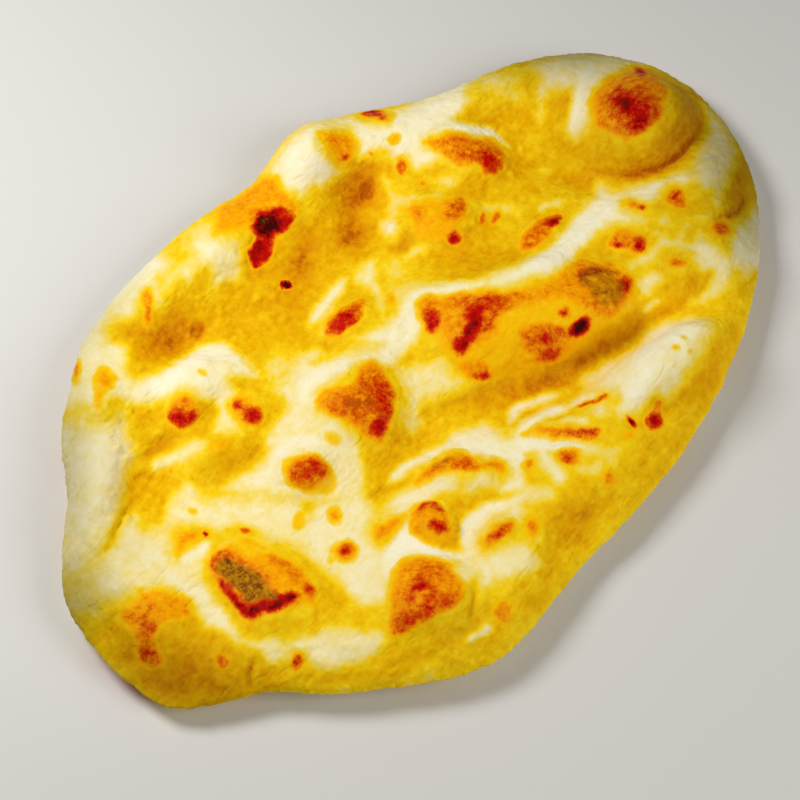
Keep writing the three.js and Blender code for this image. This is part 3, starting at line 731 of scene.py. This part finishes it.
# Raised relief of the skin, in millimetres
RAISED = [
    Mound("far mound", 1.8, (466, 156), (56, 40), 12),
    Mound("middle mound", 1.3, (440, 222), (48, 42)),
    Mound("pillow", 2.2, (516, 322), (120, 50), -10),
    Mound("pillow's end", 1.6, (596, 292), (52, 42), -20),
    Mound("corner bubble", 2.8, (640, 118), (66, 58)),
    Mound("front puff", 2.2, (664, 360), (78, 38), -30),
    Mound("pale mound", 1.8, (190, 376), (80, 32), -15),
    Mound("slim mound", 1.2, (214, 456), (52, 22), -25),
    Mound("knob", 1.2, (304, 155), (40, 32), -30),
    Mound("heart", 1.4, (362, 402), (54, 50)),
    Mound("front mound", 1.6, (430, 592), (54, 50)),
    Mound("front char", 1.4, (262, 585), (74, 48), 30),
    Mound("arch", 1.5, (470, 478), (76, 30), -8),
    Mound("arched field", 1.3, (500, 548), (52, 36), -10),
    Mound("near lobe", 1.2, (160, 640), (64, 56)),
    Mound("plateau", 1.0, (650, 232), (48, 34), -10),
    Mound("front shelf", 1.0, (560, 456), (60, 24), -5),
    Mound("toasted dome", 1.3, (346, 316), (38, 24), -38),
    Mound("left roll", 1.6, (92, 455), (40, 100)),
    Mound("far left roll", 1.8, (84, 352), (26, 46), 28),
    Mound("far shoulder", 1.2, (215, 258), (46, 30), -30),
    Spot("small bubble", 1.4, (394, 236), (14, 13)),
    Spot("ring blister", 0.6, (266, 318), (10, 9)),
    Spot("pimple", 0.9, (160, 433), (7, 6)),
    Spot("first pale bump", 1.0, (189, 490), (9, 8)),
    Spot("second pale bump", 1.0, (179, 505), (9, 8)),
    Spot("round toast", 0.9, (306, 470), (24, 19), -10),
    Spot("rimmed blister", 1.6, (433, 521), (26, 22), 20),
    Spot("small toast", 0.9, (345, 550), (14, 13)),
    Spot("teardrop", 0.8, (386, 530), (18, 9), -30),
    Spot("slant blister", 1.0, (498, 535), (20, 13), -35),
    Spot("first paired spot", 1.2, (184, 410), (20, 17)),
    Spot("second paired spot", 0.9, (250, 412), (20, 13), 30),
    Spot("toasted ridge spot", 0.7, (540, 234), (28, 15), -35),
    Spot("plateau toast", 0.7, (628, 242), (24, 14)),
    Spot("rim spot", 0.5, (569, 458), (14, 9)),
    Stroke("streak by the corner bubble", 0.4, ((586, 70), (580, 95), (574, 132)), 10),
    Stroke("streak by the toasted dome", 0.5, ((310, 325), (330, 303), (347, 280)), 12),
    Stroke("long ridge", 1.0, ((396, 330), (420, 298), (470, 283), (540, 262), (582, 235), (612, 202)), 14),
    Stroke("slim ridge", 0.6, ((154, 468), (178, 457), (204, 445)), 11),
    Stroke("far mound's crest", 0.6, ((420, 139), (447, 129), (481, 131), (507, 147)), 8),
    Stroke("plateau ridge", 0.7, ((600, 192), (650, 184), (700, 174)), 12),
    Stroke("front ridge", 0.9, ((512, 432), (544, 415), (580, 402)), 8),
    Stroke("under the toasted ridge", 0.6, ((522, 441), (551, 450), (585, 446)), 6),
    Stroke("wrinkle below the dome", 0.5, ((314, 358), (345, 352), (380, 346)), 6),
    Stroke("streak by the front mound", 0.5, ((467, 643), (477, 636), (488, 628)), 6),
]

# Sunk relief of the skin, in millimetres
SUNK = [
    Spot("black speck", 1.0, (284, 285), (5, 4)),
    Spot("left pit", 0.9, (199, 331), (9, 10)),
    Mound("deep dimple", 1.8, (354, 190), (30, 38), 12),
    Mound("dimple's core", 2.4, (368, 192), (13, 26), 10),
    Crease("bubble crease", 1.4, (
        (584, 169), (603, 174), (632, 175), (657, 169), (678, 158), (692, 142), (703, 120)), 8),
    Crease("puff crease", 1.1, ((129, 503), (119, 526), (110, 543), (93, 561)), 6),
    Stroke("pillow valley", 1.4, (
        (440, 408), (476, 399), (534, 387), (572, 372), (610, 347), (649, 324), (698, 299)), 28),
    Stroke("front crease", 0.9, ((640, 334), (664, 324), (690, 316), (735, 312)), 12),
    Crease("right crease", 0.7, ((750, 196), (736, 213), (714, 222)), 9),
    Crease("near notch", 1.0, ((255, 655), (250, 678), (253, 694)), 6),
    Crease("char crease", 0.8, ((319, 608), (317, 624)), 5),
    Crease("crease by the paired spot", 0.8, ((282, 412), (270, 436), (250, 458)), 5),
    Crease("left rim crease", 0.7, ((84, 423), (98, 425), (113, 423)), 5),
    Crease("under the rimmed blister", 1.0, ((413, 530), (428, 542), (455, 549)), 5),
    Crease("beside the front mound", 0.8, ((476, 580), (474, 600), (470, 622)), 8),
    Crease("under the front ridge", 0.8, ((524, 427), (548, 418), (584, 408)), 5),
    Spot("far char", 0.6, (268, 230), (18, 24), 20),
    Spot("front char", 0.7, (246, 582), (38, 18), 40),
]


# The skin of the bread

def view_axes(stage):
    """Right, up and back of the reference camera, and where it stands."""
    across = math.radians(stage.azimuth)
    above = math.radians(stage.elevation)
    back = Vector((math.sin(across) * math.cos(above), -math.cos(across) * math.cos(above), math.sin(above)))
    right = Vector((math.cos(across), math.sin(across), 0))
    return right, back.cross(right), back, Vector(stage.target) + back * stage.distance


def seen_at(points, stage):
    """Pixels across and down the reference view at which points of the bread are seen."""
    right, up, back, eye = (np.array(axis) for axis in view_axes(stage))
    off = points - eye
    scale = stage.lens / stage.sensor * FRAME_SIDE / -(off @ back)
    return np.stack([FRAME_SIDE / 2 + off @ right * scale, FRAME_SIDE / 2 - off @ up * scale], axis=1)


def noise_at(points, wavelength, seed):
    """Smooth noise from about -1 to 1 at points, with that wavelength in metres."""
    shift = Vector([seed * share for share in SEED_SHIFT])
    return np.array([noise.noise(Vector(p) / wavelength + shift) for p in points])


def points_and_normals(mesh):
    """A mesh's points and their normals."""
    points = np.empty(len(mesh.vertices) * 3)
    normals = np.empty(len(mesh.vertices) * 3)
    mesh.vertices.foreach_get("co", points)
    mesh.vertices.foreach_get("normal", normals)
    return points.reshape(-1, 3), normals.reshape(-1, 3)


def strongest(marks, seen):
    """The strongest mark at each seen point."""
    return np.max([mark.level * cover(mark, seen) for mark in marks], axis=0)


def layered(marks, seen):
    """Marks laid over each other in order, each raising what is under it to its own level."""
    heat = np.zeros(len(seen))
    for mark in marks:
        heat += np.maximum(mark.level - heat, 0) * warmth(mark, seen)
    return heat


def floured(golden, seen, share):
    """The gold of the crust with the floury marks laid over it, each paler than what is under it; the marks
    are partly floury crust and partly painted highlight.
    """
    golden = np.maximum(golden, BUTTERY)
    for mark in PALE_AND_HIGHLIGHT_ZONES:
        pale = BUTTERY * (1 - mark.level)
        golden = golden + np.minimum(pale - golden, 0) * cover(mark, seen) * share
    return golden


def halo(marks, seen, width):
    """A soft ring outside the well toasted marks, 1 at their edges and 0 a width away."""
    ringed = [mark for mark in marks if not isinstance(mark, Stroke) and mark.level > GLOWING]
    return np.max([ease(-width, 0, mark.depth(seen)) for mark in ringed], axis=0)


def neighbour_mean(mesh, values, rounds):
    """Values at the points of a mesh, averaged with their neighbours a number of times."""
    edges = np.empty(len(mesh.edges) * 2, np.int64)
    mesh.edges.foreach_get("vertices", edges)
    first, second = edges.reshape(-1, 2).T
    count = np.bincount(edges, minlength=len(values)) + 1
    for _ in range(rounds):
        from_second = np.bincount(first, values[second], len(values))
        from_first = np.bincount(second, values[first], len(values))
        values = (values + (from_second + from_first)) / count
    return values


def apply_modifier(piece, kind, name, **settings):
    """Adds a modifier to the piece and applies it."""
    modifier = piece.modifiers.new(name, kind)
    for key, value in settings.items():
        setattr(modifier, key, value)
    bpy.ops.object.modifier_apply(modifier=name)


def press_relief(piece, name, heights):
    """Moves the skin out by a height at each point, by a Displace modifier on a vertex group."""
    peak = float(np.max(np.abs(heights)))
    group = piece.vertex_groups.new(name=name)
    for index in np.flatnonzero(np.abs(heights) > peak * FAINT):
        group.add((int(index),), float(abs(heights[index])) / peak, "REPLACE")
    sign = 1 if heights[np.argmax(np.abs(heights))] > 0 else -1
    apply_modifier(piece, "DISPLACE", name, vertex_group=name, direction="NORMAL", mid_level=0,
                   strength=sign * peak)
    piece.vertex_groups.clear()


def copy_solid():
    """A copy of the bread's solid with its triangles joined up."""
    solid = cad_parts[NODE]
    piece = bpy.data.objects.new(PIECE, solid.data.copy())
    piece.data.materials.clear()
    bpy.context.scene.collection.objects.link(piece)
    bpy.ops.object.select_all(action="DESELECT")
    piece.select_set(True)
    bpy.context.view_layer.objects.active = piece
    bpy.ops.object.mode_set(mode="EDIT")
    bpy.ops.mesh.select_all(action="SELECT")
    bpy.ops.mesh.remove_doubles(threshold=JOIN)
    bpy.ops.object.mode_set(mode="OBJECT")
    return piece


def refine_top(piece):
    """Splits the faces of the top and the upper sides once more, and leaves the base as it is."""
    bpy.ops.object.mode_set(mode="EDIT")
    bpy.ops.mesh.select_mode(type="FACE")
    bpy.ops.mesh.select_all(action="DESELECT")
    bpy.ops.object.mode_set(mode="OBJECT")
    for face in piece.data.polygons:
        face.select = face.normal.z > SPLIT_FACING
    bpy.ops.object.mode_set(mode="EDIT")
    bpy.ops.mesh.subdivide(number_cuts=1)
    bpy.ops.object.mode_set(mode="OBJECT")


def seeded_pimples():
    """Small pimples scattered over the golden hollows of the top."""
    draw = random.Random(PIMPLE_SEED)
    pimples = []
    for index in range(PIMPLES):
        (x, y), (reach_x, reach_y) = PIMPLE_FIELDS[index % len(PIMPLE_FIELDS)]
        at = (x + draw.uniform(-1, 1) * reach_x, y + draw.uniform(-1, 1) * reach_y)
        size = draw.uniform(*PIMPLE_HALF)
        pimples.append(Spot("pimple", draw.uniform(*PIMPLE_HEIGHT), at, (size, size * PIMPLE_SQUASH)))
    return pimples


def carve_skin(piece, stage):
    """Raises and sinks the skin's fine relief: blisters, wrinkles, creases and pits."""
    points, normals = points_and_normals(piece.data)
    seen = seen_at(points, stage)
    upper = ease(*RELIEF_FACING, normals[:, 2])
    raised = RAISED + seeded_pimples()
    up = np.sum([mark.level * mark.dome(seen) for mark in raised], axis=0)
    down = np.max([mark.level * mark.dome(seen) for mark in SUNK], axis=0)
    press_relief(piece, "raised", up * upper * MM)
    press_relief(piece, "sunk", -down * upper * MM)


def roughen_skin(piece, crust):
    """Gives the skin the uneven grain of baked dough, in and out on the top and only inwards on the base."""
    normals = points_and_normals(piece.data)[1]
    upper = ease(*GRAIN_FACING, normals[:, 2])
    for name, share, middle in (("upper", upper, 0.5), ("base", 1 - upper, 1.0)):
        group = piece.vertex_groups.new(name=name)
        for index in np.flatnonzero(share > FAINT):
            group.add((int(index),), float(share[index]), "REPLACE")
        for size, height, kind in ((crust.swell_size, crust.swell_height, "SOFT_NOISE"),
                                   (crust.lump_size, crust.lump_height, "SOFT_NOISE"),
                                   (crust.grain_size, crust.grain_height, "HARD_NOISE")):
            texture = bpy.data.textures.new(name, "CLOUDS")
            texture.noise_scale = size
            texture.noise_depth = 2
            texture.noise_type = kind
            apply_modifier(piece, "DISPLACE", name, texture=texture, texture_coords="LOCAL", mid_level=middle,
                           strength=height, vertex_group=name)
            bpy.data.textures.remove(texture)
    piece.vertex_groups.clear()


def underside_toast(places):
    """Toast of the base at places in millimetres, in spots scattered where it lay on the hot oven."""
    draw = random.Random(BASE_SPOT_SEED)
    low, high = (np.array(corner)[:2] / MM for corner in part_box(NODE))
    marks = []
    for _ in range(BASE_SPOTS):
        at = [draw.uniform(a, b) for a, b in zip(low, high)]
        half = [draw.uniform(*BASE_SPOT_LONG), draw.uniform(*BASE_SPOT_WIDE)]
        marks.append(Spot("base spot", draw.uniform(*BASE_SPOT_TOAST), at, half, draw.uniform(0, 180)))
    return layered(marks, places)


def strayed(points, seeds):
    """Pixels that outlines stray at points."""
    return sum(reach * noise_at(points, size, seed) for (reach, size), seed in zip(STRAY, seeds))


def standing(mesh, points, normals):
    """Millimetres that each point of a mesh stands above the points round it."""
    around = np.stack([neighbour_mean(mesh, points[:, axis], CREST_ROUNDS) for axis in range(3)], axis=1)
    return np.sum((points - around) * normals, axis=1) / MM


def bake_skin(piece, stage):
    """Bakes how golden, toasted and charred the crust is into the skin's points, with painted highlights and
    shade in its gold and painted shade over its ends and rims.
    """
    points, normals = points_and_normals(piece.data)
    stray = np.stack([strayed(points, seeds) for seeds in STRAY_SEEDS], axis=1)
    seen = seen_at(points, stage)
    upper = ease(*COLOUR_FACING, normals[:, 2])
    crest = np.clip(standing(piece.data, points, normals), -CREST_LIMIT, CREST_LIMIT)
    # Painted light and shade: paler on crests and on slopes that face the key light, more golden in hollows
    # and on slopes that face away from it
    golden = GROUND_GOLD - KEY_SIDE_PALING * normals[:, 1] - CREST_HIGHLIGHT_HOLLOW_SHADE * crest
    golden = golden + DRIFT * noise_at(points, DRIFT_SIZE, DRIFT_SEED)
    # Golden zones: partly the crust's own gold, partly painted shade in hollows, creases and sides away from
    # the light
    golden = golden + upper * strongest(GOLD_AND_SHADE_ZONES, seen + GOLD_STRAY * stray)
    golden = floured(golden, seen + FLOUR_STRAY * stray, upper)
    drift = BASE_DRIFT * noise_at(points, BASE_DRIFT_SIZE, BASE_DRIFT_SEED)
    golden = golden + (1 - upper) * (drift - BASE_PALING)
    warm = np.maximum(layered(TOASTED, seen + stray), GLOW * halo(TOASTED, seen + stray, GLOW_WIDTH))
    golden = np.maximum(golden, upper * RING_GOLD * ease(*RING_RISE, warm))
    toast = upper * warm + (1 - upper) * underside_toast(points[:, :2] / MM + BASE_STRAY * stray)
    char = upper * layered(CHARRED, seen + stray)
    # Painted shade where the light falls off towards the ends and rims
    falloff_shade = upper * strongest(FALLOFF_SHADE_ZONES, seen)
    for name, values in (("golden", golden), ("toast", toast), ("char", char), ("falloff_shade", falloff_shade)):
        attribute = piece.data.attributes.new(name, "FLOAT", "POINT")
        attribute.data.foreach_set("value", np.clip(values, 0, MOST).astype(np.float32))


# Materials

class Value:
    """A socket's value in a material, which takes part in Python sums."""

    def __init__(self, graph, socket):
        self.graph = graph
        self.socket = socket

    def __add__(self, other):
        return self.graph.maths("ADD", self, other)

    __radd__ = __add__

    def __sub__(self, other):
        return self.graph.maths("SUBTRACT", self, other)

    def __rsub__(self, other):
        return self.graph.maths("SUBTRACT", other, self)

    def __mul__(self, other):
        return self.graph.maths("MULTIPLY", self, other)

    __rmul__ = __mul__

    def __abs__(self):
        return self.graph.maths("ABSOLUTE", self, 0)


class Graph:
    """A material's nodes."""

    def __init__(self, name):
        self.material = bpy.data.materials.new(name)
        self.material.use_nodes = True
        self.tree = self.material.node_tree
        self.shader = self.tree.nodes["Principled BSDF"]

    def node(self, kind, settings=None, inputs=None, output=0):
        """Adds a node, with its settings first and then the values or links of its sockets."""
        node = self.tree.nodes.new(kind)
        for key, value in (settings or {}).items():
            setattr(node, key, value)
        for key, value in (inputs or {}).items():
            self.feed(node.inputs[key], value)
        return Value(self, node.outputs[output])

    def feed(self, socket, value):
        """Links a value to a socket, or sets a number or colour on it."""
        if isinstance(value, Value):
            self.tree.links.new(value.socket, socket)
        else:
            socket.default_value = (*value, 1) if socket.type == "RGBA" else value

    def maths(self, operation, first, second):
        return self.node("ShaderNodeMath", {"operation": operation}, {0: first, 1: second})

    def attribute(self, name):
        return self.node("ShaderNodeAttribute", {"attribute_name": name}, output="Fac")

    def noise(self, size, detail, where, roughness=0.6):
        """Noise from 0 to 1 with that size of patch, in metres."""
        return self.node("ShaderNodeTexNoise", None,
                         {"Vector": where, "Scale": 1 / size, "Detail": detail, "Roughness": roughness})

    def uneven(self, noises, shares):
        """Noises about their middles, each by its share, added up."""
        parts = [(value - 0.5) * share for value, share in zip(noises, shares)]
        return sum(parts[1:], parts[0])

    def step(self, value, low, high):
        """A smooth step of a value from low to high."""
        return self.node("ShaderNodeMapRange", {"interpolation_type": "SMOOTHSTEP"},
                         {"Value": value, "From Min": low, "From Max": high})

    def ramp(self, value, stops):
        """A colour from a value, through stops of place and colour."""
        result = self.node("ShaderNodeValToRGB", None, {"Fac": value})
        band = result.socket.node.color_ramp
        while len(band.elements) < len(stops):
            band.elements.new(1)
        for element, (place, colour) in zip(band.elements, stops):
            element.position = place
            element.color = (*colour, 1)
        return result

    def mix(self, share, first, second, blend="MIX"):
        """A mix of two colours."""
        return self.node("ShaderNodeMix", {"data_type": "RGBA", "blend_type": blend},
                         {0: share, 6: first, 7: second}, output=2)


def crust_material(crust):
    """Baked dough: floury, cream and golden crust with toasted and charred marks, painted highlights and
    shade in its gold, and painted shade over its ends and rims.
    """
    graph = Graph("Baked naan crust")
    where = graph.node("ShaderNodeTexCoord", output="Object")
    cloud = graph.noise(crust.cloud_size, 2, where)
    blotch = graph.noise(crust.blotch_size, 1, where)
    fleck = graph.noise(crust.fleck_size, 2, where)
    speck = graph.noise(crust.speck_size, 2, where, SPECK_ROUGHNESS)

    # Dough, mottled less where it is pale
    golden = graph.attribute("golden")
    mottle = graph.uneven((cloud, blotch, speck), MOTTLE)
    golden = golden + mottle * (PALE_MOTTLE + graph.step(golden, *PALE_STEP) * (1 - PALE_MOTTLE))
    dough = graph.ramp(golden, (
        (0.0, crust.flour), (0.15, crust.cream), (0.28, crust.butter), (0.44, crust.yolk),
        (0.66, crust.honey), (0.86, crust.caramel), (1.0, crust.umber)))

    # Toast, speckled more where it is strong
    toast = graph.attribute("toast")
    marked = graph.step(toast, *MARKED_STEP)
    speckle = graph.uneven((cloud, blotch, speck), SPECKLE) + graph.step(fleck, *FLECK_STEP) * FLECK_HEAT
    heat = toast + marked * speckle
    browned = graph.ramp(heat * HEAT_SCALE, (
        (0.26, crust.amber), (0.38, crust.marmalade), (0.5, crust.orange),
        (0.6, crust.rust), (0.7, crust.garnet), (1.0, crust.soot)))
    colour = graph.mix(graph.step(heat, *HEAT_STEP), dough, browned)

    # Ash on the charred marks, and painted shade that darkens the ends and rims
    char = graph.attribute("char") + graph.uneven((blotch, speck), CHAR_SPECKLE)
    ash = graph.mix(graph.step((fleck + speck) * 0.5, *ASH_STEP), crust.cinder, crust.ash)
    colour = graph.mix(graph.step(char, *CHAR_STEP) * CHAR_COVER, colour, ash)
    colour = graph.mix(graph.attribute("falloff_shade"), colour, crust.falloff_shade, "MULTIPLY")
    graph.feed(graph.shader.inputs["Base Color"], colour)
    rough = ROUGHNESS - marked * MARKED_GLOSS + (blotch - 0.5) * BLOTCH_ROUGHNESS
    graph.feed(graph.shader.inputs["Roughness"], rough)

    # Fine bumps, and patches of soft furrows along the bread
    along = graph.node("ShaderNodeMapping", None, {"Vector": where, "Scale": FURROW_STRETCH})
    furrow = graph.step(abs(graph.noise(crust.wrinkle_size, 1, along) - 0.5), *FURROW_STEP)
    wrinkled = graph.step(cloud, *WRINKLED_STEP)
    height = blotch * BLOTCH_BUMP + speck * SPECK_BUMP + marked * speck * MARKED_BUMP
    height = height + furrow * wrinkled * FURROW_BUMP
    bump = graph.node("ShaderNodeBump", None,
                      {"Strength": BUMP_STRENGTH, "Distance": crust.bump_depth, "Height": height})
    graph.feed(graph.shader.inputs["Normal"], bump)
    graph.shader.inputs["Specular IOR Level"].default_value = crust.shine
    return graph.material


def floor_material(stage):
    """Plain pale matt floor."""
    graph = Graph("Pale floor")
    where = graph.node("ShaderNodeTexCoord", output="Object")
    cloud = graph.noise(FLOOR_CLOUD, 2, where)
    darker = tuple(FLOOR_SHADE * channel for channel in stage.floor_colour)
    shade = graph.mix(cloud, darker, stage.floor_colour)
    graph.feed(graph.shader.inputs["Base Color"], shade)
    graph.shader.inputs["Roughness"].default_value = FLOOR_ROUGHNESS
    return graph.material


# Settings

def colour_property(name, description, default):
    """A colour that a user may change."""
    return FloatVectorProperty(
        name=name, description=description, default=default, size=3, min=0, max=1, subtype="COLOR")


def length_property(name, description, default):
    """A length that a user may change."""
    return FloatProperty(name=name, description=description, default=default, precision=5, unit="LENGTH")


class NaanCrustSettings(bpy.types.PropertyGroup):
    """Sizes and colours of the crust."""
    skin_size: length_property("Skin size", "Side of the skin's faces before the top is split", 1.72 * MM)
    smoothing: IntProperty(
        name="Smoothing", description="Rounds of smoothing that take off the solid's facets", default=12)
    swell_size: length_property("Swell size", "Width of the dough's soft swells", 12 * MM)
    swell_height: length_property("Swell height", "Height of the dough's soft swells", 0.8 * MM)
    lump_size: length_property("Lump size", "Width of the crust's lumps", 4.5 * MM)
    lump_height: length_property("Lump height", "Height of the crust's lumps", 0.75 * MM)
    grain_size: length_property("Grain size", "Width of the crust's fine grain", 2.1 * MM)
    grain_height: length_property("Grain height", "Height of the crust's fine grain", 0.5 * MM)
    cloud_size: length_property("Cloud size", "Width of the crust's cloudy patches of colour", 7 * MM)
    blotch_size: length_property("Blotch size", "Width of the crust's blotches", 2.6 * MM)
    fleck_size: length_property("Fleck size", "Width of the flecks in toasted marks", 1.6 * MM)
    speck_size: length_property("Speck size", "Width of the finest specks", 0.9 * MM)
    wrinkle_size: length_property("Wrinkle size", "Width of the skin's soft furrows", 3.6 * MM)
    bump_depth: length_property("Bump depth", "Depth of the finest bumps and furrows", 0.4 * MM)
    shine: FloatProperty(
        name="Shine", description="Strength of the crust's gloss", default=0.04, min=0, max=1)
    # The dough's colours from flour to umber: the pale end also serves as painted highlight on crests, and
    # the deep end as painted shade in hollows and on sides away from the light
    flour: colour_property("Flour", "Floury crests", tint(252, 246, 218))
    cream: colour_property("Cream", "Pale crust", tint(250, 236, 180))
    butter: colour_property("Butter", "Light golden crust", tint(248, 222, 112))
    yolk: colour_property("Yolk", "Yellow crust", tint(250, 211, 18))
    honey: colour_property("Honey", "Golden hollows and sides", tint(236, 178, 0))
    caramel: colour_property("Caramel", "Deep hollows", tint(220, 142, 0))
    umber: colour_property("Umber", "Deepest hollows", tint(188, 94, 0))
    amber: colour_property("Amber", "Edges of toasted marks", tint(255, 190, 0))
    marmalade: colour_property("Marmalade", "Lightly toasted marks", tint(250, 160, 0))
    orange: colour_property("Orange", "Toasted marks", tint(230, 110, 0))
    rust: colour_property("Rust", "Well toasted marks", tint(210, 70, 0))
    garnet: colour_property("Garnet", "Scorched cores", tint(206, 10, 0))
    soot: colour_property("Soot", "Burnt black", tint(64, 2, 0))
    cinder: colour_property("Cinder", "Dark grains of charred marks", tint(66, 30, 0))
    ash: colour_property("Ash", "Olive ash on charred marks", tint(194, 142, 8))
    # Painted shade: the grey by which the ends and rims are multiplied where the light falls off
    falloff_shade: colour_property("Falloff shade", "Grey of the painted shade over the ends and rims", (0.42, 0.43, 0.44))


class NaanStageSettings(bpy.types.PropertyGroup):
    """The camera, light and floor."""
    azimuth: FloatProperty(
        name="Azimuth", description="Degrees that the camera stands round to the right", default=-52)
    elevation: FloatProperty(
        name="Elevation", description="Degrees that the camera stands above the floor", default=56)
    distance: length_property("Distance", "From the camera to what it looks at", 0.6)
    target: FloatVectorProperty(
        name="Target", description="Point that the camera looks at", default=(-0.0207, -0.0091, 0.009),
        size=3, subtype="XYZ", unit="LENGTH")
    lens: FloatProperty(name="Lens", description="Focal length of the camera in millimetres", default=90)
    sensor: FloatProperty(
        name="Sensor", description="Width of the camera's sensor in millimetres", default=36)
    floor_colour: colour_property("Floor", "Pale floor", tint(218, 216, 212))
    floor_side: length_property("Floor side", "Side of the square floor", 6)
    floor_drop: length_property("Floor drop", "Gap that keeps the floor clear of the base", 0.3 * MM)
    key_place: FloatVectorProperty(
        name="Key place", description="Where the key light hangs", default=(-0.12, 0.3, 0.4),
        size=3, subtype="XYZ", unit="LENGTH")
    key_size: length_property("Key size", "Side of the key light", 0.2)
    key_power: FloatProperty(
        name="Key light", description="Power of the soft key light", default=1.98, unit="POWER")
    fill_place: FloatVectorProperty(
        name="Fill place", description="Where the fill light hangs", default=(0.1, -0.7, 0.5),
        size=3, subtype="XYZ", unit="LENGTH")
    fill_size: length_property("Fill size", "Side of the fill light", 0.5)
    fill_power: FloatProperty(
        name="Fill light", description="Power of the soft fill light", default=3.5, unit="POWER")
    sky_colour: colour_property("Sky colour", "Warm tint of the light from all round", (1.0, 0.94, 0.82))
    sky_strength: FloatProperty(
        name="Sky", description="Strength of the even light from all round", default=0.15)


# Operators

class NAAN_OT_crust(bpy.types.Operator):
    """Builds the bread's crust over its solid"""
    bl_idname = "naan.crust"
    bl_label = "Build Crust"

    def execute(self, context):
        crust = context.scene.naan_crust
        stage = context.scene.naan_stage
        piece = copy_solid()
        apply_modifier(piece, "SUBSURF", "round facets", levels=1, render_levels=1)
        piece.data.remesh_voxel_size = crust.skin_size
        bpy.ops.object.voxel_remesh()
        apply_modifier(piece, "SMOOTH", "soften facets", factor=SOFTEN, iterations=crust.smoothing)
        refine_top(piece)
        apply_modifier(piece, "SMOOTH", "soften splits", factor=SOFTEN, iterations=SPLIT_ROUNDS)
        carve_skin(piece, stage)
        roughen_skin(piece, crust)
        bake_skin(piece, stage)
        bpy.ops.object.shade_smooth()
        piece.data.materials.append(crust_material(crust))
        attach(piece, "root")
        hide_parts(NODE)
        return {"FINISHED"}


class NAAN_OT_stage(bpy.types.Operator):
    """Sets the floor, the lights and the camera"""
    bl_idname = "naan.stage"
    bl_label = "Set Stage"

    def execute(self, context):
        stage = context.scene.naan_stage
        bpy.ops.object.select_all(action="DESELECT")
        bpy.ops.mesh.primitive_plane_add(size=stage.floor_side, location=(0, 0, -stage.floor_drop))
        floor = context.active_object
        floor.name = "floor"
        bpy.ops.object.transform_apply(location=True)
        floor.data.materials.append(floor_material(stage))
        add_light(context, "key light", stage.key_place, stage.key_size, stage.key_power)
        add_light(context, "fill light", stage.fill_place, stage.fill_size, stage.fill_power)
        world = bpy.data.worlds.new("Even sky")
        world.use_nodes = True
        glow = world.node_tree.nodes["Background"].inputs
        glow["Color"].default_value = (*stage.sky_colour, 1)
        glow["Strength"].default_value = stage.sky_strength
        context.scene.world = world
        context.scene.view_settings.view_transform = "Standard"
        add_camera(context, stage)
        return {"FINISHED"}


def add_light(context, name, place, size, power):
    """A soft square light that faces the bread."""
    light = bpy.data.lights.new(name, "AREA")
    light.size = size
    light.energy = power
    lamp = bpy.data.objects.new(name, light)
    lamp.location = place
    lamp.rotation_euler = Vector(place).to_track_quat("Z", "Y").to_euler()
    context.scene.collection.objects.link(lamp)


def add_camera(context, stage):
    """The camera of the reference view."""
    right, up, back, eye = view_axes(stage)
    data = bpy.data.cameras.new("reference view")
    data.lens = stage.lens
    data.sensor_width = stage.sensor
    data.clip_start = 10 * MM
    camera = bpy.data.objects.new("reference view", data)
    turn = Matrix((right, up, back)).transposed().to_4x4()
    camera.matrix_world = Matrix.Translation(eye) @ turn
    context.scene.collection.objects.link(camera)
    context.scene.camera = camera


class NAAN_PT_panel(bpy.types.Panel):
    """Lists what builds the bread and its stage"""
    bl_idname = "NAAN_PT_panel"
    bl_label = "Naan Bread"
    bl_space_type = "VIEW_3D"
    bl_region_type = "UI"
    bl_category = "Naan"

    def draw(self, context):
        scene = context.scene
        for operator, settings in ((NAAN_OT_crust, scene.naan_crust), (NAAN_OT_stage, scene.naan_stage)):
            self.layout.operator(operator.bl_idname)
            for name in settings.__annotations__:
                self.layout.prop(settings, name)


CLASSES = (NaanCrustSettings, NaanStageSettings, NAAN_OT_crust, NAAN_OT_stage, NAAN_PT_panel)


def register():
    for cls in CLASSES:
        bpy.utils.register_class(cls)
    bpy.types.Scene.naan_crust = PointerProperty(type=NaanCrustSettings)
    bpy.types.Scene.naan_stage = PointerProperty(type=NaanStageSettings)


def unregister():
    del bpy.types.Scene.naan_stage
    del bpy.types.Scene.naan_crust
    for cls in reversed(CLASSES):
        bpy.utils.unregister_class(cls)


def main():
    register()
    bpy.ops.naan.crust()
    bpy.ops.naan.stage()


if __name__ == "__main__":
    main()
